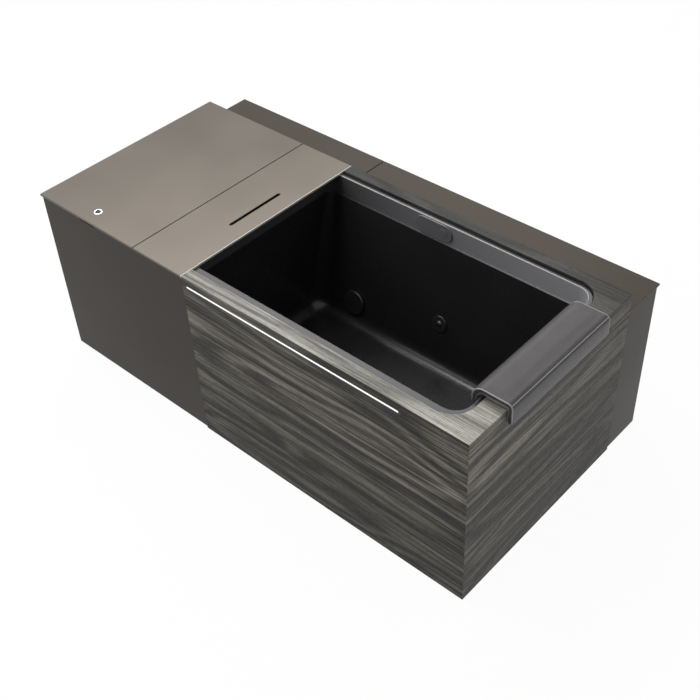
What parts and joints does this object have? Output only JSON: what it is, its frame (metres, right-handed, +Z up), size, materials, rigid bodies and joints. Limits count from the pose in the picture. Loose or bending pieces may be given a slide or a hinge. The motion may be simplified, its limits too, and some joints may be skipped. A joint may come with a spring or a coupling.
{
  "type": "cold plunge tub",
  "caption": "Built-in style cold plunge tub: dark moulded basin with wood cladding and deck, metal equipment cabinet with lid, rear ledge, light strip and headrest.",
  "frame": {"origin": "middle of the footprint, on the floor under the feet", "axes": "+X along the tub from the equipment cabinet to the headrest, +Y from the clad front to the service ledge, +Z up"},
  "size_m": [1.922, 1, 0.732],
  "materials": {
    "frame_steel": "powder coat",
    "foot_steel": "zinc plated",
    "tray_steel": "zinc plated",
    "basin_acrylic": "satin, near black",
    "foam": "closed-cell foam",
    "wood_cladding": "dark grey-brown streaked veneer",
    "wood_deck": "grey streaked veneer",
    "channel_black": "black",
    "light_lens": "opal",
    "cabinet_metal": "dark bronze satin",
    "plate_metal": "bronze anodised satin",
    "back_board": "dark board",
    "back_sheet": "dark satin",
    "hinge_steel": "satin",
    "chrome": "polished",
    "black_plastic": "fine matt",
    "magnet": "nickel",
    "rubber_black": "matt",
    "headrest_skin": "grey soft skin, satin",
    "bracket_steel": "satin",
    "control_gloss": "gloss black",
    "fitting_plastic": "satin black",
    "pipe_plastic": "off-white",
    "lever_plastic": "red",
    "chiller_metal": "light grey powder coat",
    "motor_metal": "dark blue-grey",
    "filter_grey": "grey",
    "filter_cloth": "white pleated",
    "screw_steel": "zinc plated"
  },
  "bodies": {
    "tub": {"levelling_feet": "foot_steel", "frame_long_rails": "frame_steel", "frame_cross_rails": "frame_steel", "frame_posts": "frame_steel", "equipment_tray": "tray_steel", "basin": "basin_acrylic", "basin_insulation": "foam", "wood_front_panel": "wood_cladding", "wood_end_panel": "wood_cladding", "deck_panel": "wood_deck", "light_channel": "channel_black", "light_lens": "light_lens", "cabinet_front_panel": "cabinet_metal", "cabinet_left_panel": "cabinet_metal", "cabinet_back_panel": "back_sheet", "tub_back_panel": "back_board", "ledge_top_left": "plate_metal", "ledge_top_right": "plate_metal", "ledge_end_panels": "cabinet_metal", "ledge_back_panels": "cabinet_metal", "panel_screws": "screw_steel", "ledge_gussets": "frame_steel", "hinge_frame_leaves": "hinge_steel", "hinge_pins": "hinge_steel", "lid_stops": "rubber_black", "control_pad": "control_gloss", "suction_cover": "fitting_plastic", "suction_body": "black_plastic", "jet_ring": "fitting_plastic", "jet_body": "black_plastic", "chiller_casing": "chiller_metal", "chiller_feet": "rubber_black", "fan_guard": "frame_steel", "pump_motor": "motor_metal", "pump_head": "black_plastic", "filter_housing": "filter_grey", "filter_cartridge": "filter_cloth", "control_box": "filter_grey", "drain_tee": "pipe_plastic", "drain_valve": "pipe_plastic", "drain_spigot": "black_plastic", "cable_gland": "black_plastic", "suction_pipes": "pipe_plastic", "pressure_pipes": "pipe_plastic"},
    "lid": {"equipment_lid": "plate_metal", "lid_stiffeners": "tray_steel", "hinge_lid_leaves": "hinge_steel", "latch_bezel": "chrome", "latch_cup": "black_plastic", "lid_catch_magnets": "magnet"},
    "lid_button": {"latch_button": "chrome"},
    "cover": {"access_cover": "plate_metal"},
    "headrest": {"headrest_pad": "headrest_skin", "headrest_bracket": "bracket_steel", "headrest_spacers": "rubber_black"},
    "control_key": {"control_button": "control_gloss"},
    "jet_nozzle": {"jet_eyeball": "fitting_plastic"},
    "fan": {"chiller_fan": "black_plastic"},
    "drain_lever": {"valve_handle": "lever_plastic"},
    "filter_lid": {"filter_cap": "black_plastic"}
  },
  "joints": [
    {"name": "lid_hinge", "type": "hinge", "parent": "tub", "child": "lid", "pos_m": [-0.709, 0.326, 0.6865], "axis": [-1, 0, 0], "range_deg": [0, 80]},
    {"name": "lid_button_press", "type": "slide", "parent": "lid", "child": "lid_button", "axis": [0, 0, -1], "range_m": [0, 0.003], "stiffness_N_per_m": 500, "springref_m": -0.004},
    {"name": "cover_lift", "type": "slide", "parent": "tub", "child": "cover", "axis": [0, 0, 1], "range_m": [0, 0.15]},
    {"name": "headrest_lift", "type": "slide", "parent": "tub", "child": "headrest", "axis": [0, 0, 1], "range_m": [0, 0.12]},
    {"name": "control_press", "type": "slide", "parent": "tub", "child": "control_key", "axis": [0, 1, 0], "range_m": [0, 0.0015], "stiffness_N_per_m": 800, "springref_m": -0.001},
    {"name": "jet_tilt", "type": "hinge", "parent": "tub", "child": "jet_nozzle", "pos_m": [0.3, 0.19248, 0.32008], "axis": [1, 0, 0], "range_deg": [-15, 15]},
    {"name": "fan_spin", "type": "hinge", "parent": "tub", "child": "fan", "pos_m": [-0.89, 0.09, 0.274], "axis": [1, 0, 0], "continuous": true},
    {"name": "drain_lever_turn", "type": "hinge", "parent": "tub", "child": "drain_lever", "pos_m": [-0.496, 0.23, 0.25164], "axis": [0, 0, -1], "range_deg": [0, 90]},
    {"name": "filter_lid_turn", "type": "hinge", "parent": "tub", "child": "filter_lid", "pos_m": [-0.395, -0.27, 0.58], "axis": [0, 0, 1], "range_deg": [0, 75]}
  ]
}
